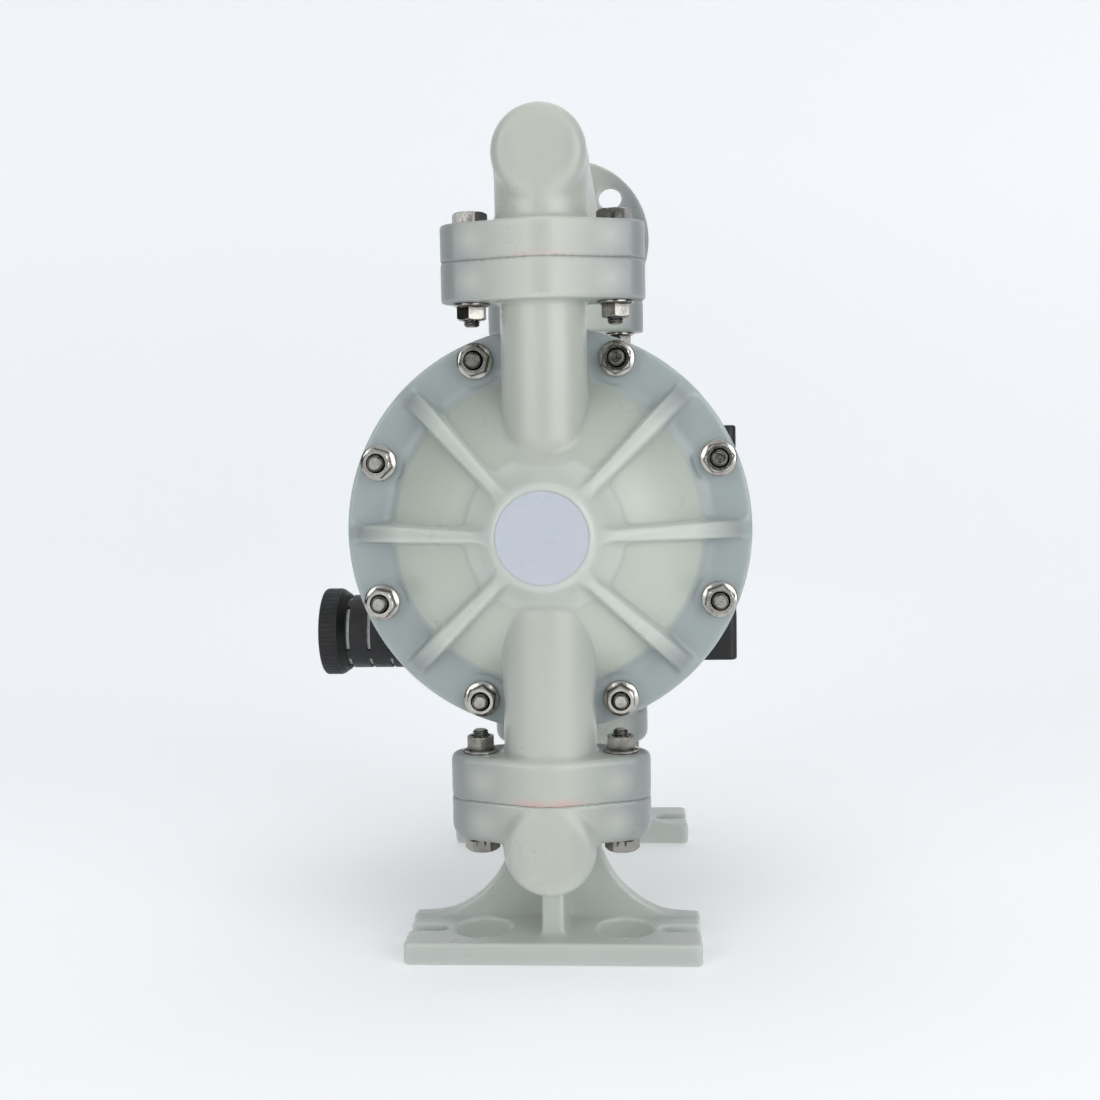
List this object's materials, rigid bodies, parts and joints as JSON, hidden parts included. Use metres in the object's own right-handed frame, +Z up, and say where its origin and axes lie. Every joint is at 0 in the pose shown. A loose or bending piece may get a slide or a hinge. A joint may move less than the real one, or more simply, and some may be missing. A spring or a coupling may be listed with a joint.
{
  "type": "air operated diaphragm pump",
  "caption": "Upright double diaphragm pump with translucent plastic wet ends, flanged discharge pipe on top, threaded suction pipe with feet below, air valve and silencer at mid height.",
  "frame": {"origin": "centre of the four round foot holes, on the floor", "axes": "+Z up, +Y along the shaft towards the discharge flange, +X towards the air valve"},
  "size_m": [0.2353, 0.3364, 0.444],
  "materials": {
    "natural_plastic": "satin, milky translucent",
    "black_plastic": "fine textured",
    "stainless": "satin",
    "red_elastomer": "smooth",
    "black_rubber": "matt",
    "white_ptfe": "smooth",
    "white_label": "gloss",
    "porous_white": "porous"
  },
  "bodies": {
    "housing": {"front_fluid_chamber": "natural_plastic", "rear_fluid_chamber": "natural_plastic", "discharge_manifold": "natural_plastic", "suction_manifold": "natural_plastic", "front_air_chamber": "natural_plastic", "rear_air_chamber": "natural_plastic", "front_label": "white_label", "rear_label": "white_label", "valve_seats": "white_ptfe", "seat_rings": "red_elastomer", "front_diaphragm": "white_ptfe", "rear_diaphragm": "white_ptfe", "shaft_bushes": "white_ptfe", "shaft_seals": "black_rubber", "air_chamber_screws": "stainless", "centre_body": "black_plastic", "valve_gasket": "black_rubber", "valve_body": "black_plastic", "valve_top_cap": "black_plastic", "valve_bottom_cap": "black_plastic", "cap_screws": "stainless", "valve_screws": "stainless", "valve_sleeve": "stainless", "silencer_body": "black_plastic", "silencer_cap": "black_plastic", "silencer_element": "porous_white", "chamber_bolts": "stainless", "chamber_nuts": "stainless", "top_flange_bolts": "stainless", "top_flange_nuts": "stainless", "bottom_flange_bolts": "stainless", "bottom_flange_nuts": "stainless"},
    "shaft_group": {"shaft": "stainless", "front_inner_plate": "stainless", "rear_inner_plate": "stainless", "front_outer_plate": "white_ptfe", "rear_outer_plate": "white_ptfe", "front_plate_screw": "stainless", "rear_plate_screw": "stainless"},
    "pilot": {"pilot_rod": "stainless"},
    "spool": {"spool": "white_ptfe"},
    "front_suction_check": {"front_suction_ball": "white_ptfe"},
    "rear_suction_check": {"rear_suction_ball": "white_ptfe"},
    "front_discharge_check": {"front_discharge_ball": "white_ptfe"},
    "rear_discharge_check": {"rear_discharge_ball": "white_ptfe"}
  },
  "joints": [
    {"name": "shaft_slide", "type": "slide", "parent": "housing", "child": "shaft_group", "axis": [0, 1, 0], "range_m": [-0.008, 0.008], "deforming": ["front_diaphragm", "rear_diaphragm"]},
    {"name": "pilot_slide", "type": "slide", "parent": "housing", "child": "pilot", "axis": [0, 1, 0], "range_m": [-0.004, 0.004]},
    {"name": "spool_slide", "type": "slide", "parent": "housing", "child": "spool", "axis": [0, 0, 1], "range_m": [0, 0.012]},
    {"name": "front_suction_lift", "type": "slide", "parent": "housing", "child": "front_suction_check", "axis": [0, 0, 1], "range_m": [0, 0.009]},
    {"name": "rear_suction_lift", "type": "slide", "parent": "housing", "child": "rear_suction_check", "axis": [0, 0, 1], "range_m": [0, 0.009]},
    {"name": "front_discharge_lift", "type": "slide", "parent": "housing", "child": "front_discharge_check", "axis": [0, 0, 1], "range_m": [0, 0.009]},
    {"name": "rear_discharge_lift", "type": "slide", "parent": "housing", "child": "rear_discharge_check", "axis": [0, 0, 1], "range_m": [0, 0.009]}
  ],
  "couplings": [
    {"joint": "pilot_slide", "follows": "shaft_slide", "ratio": 0.5}
  ]
}
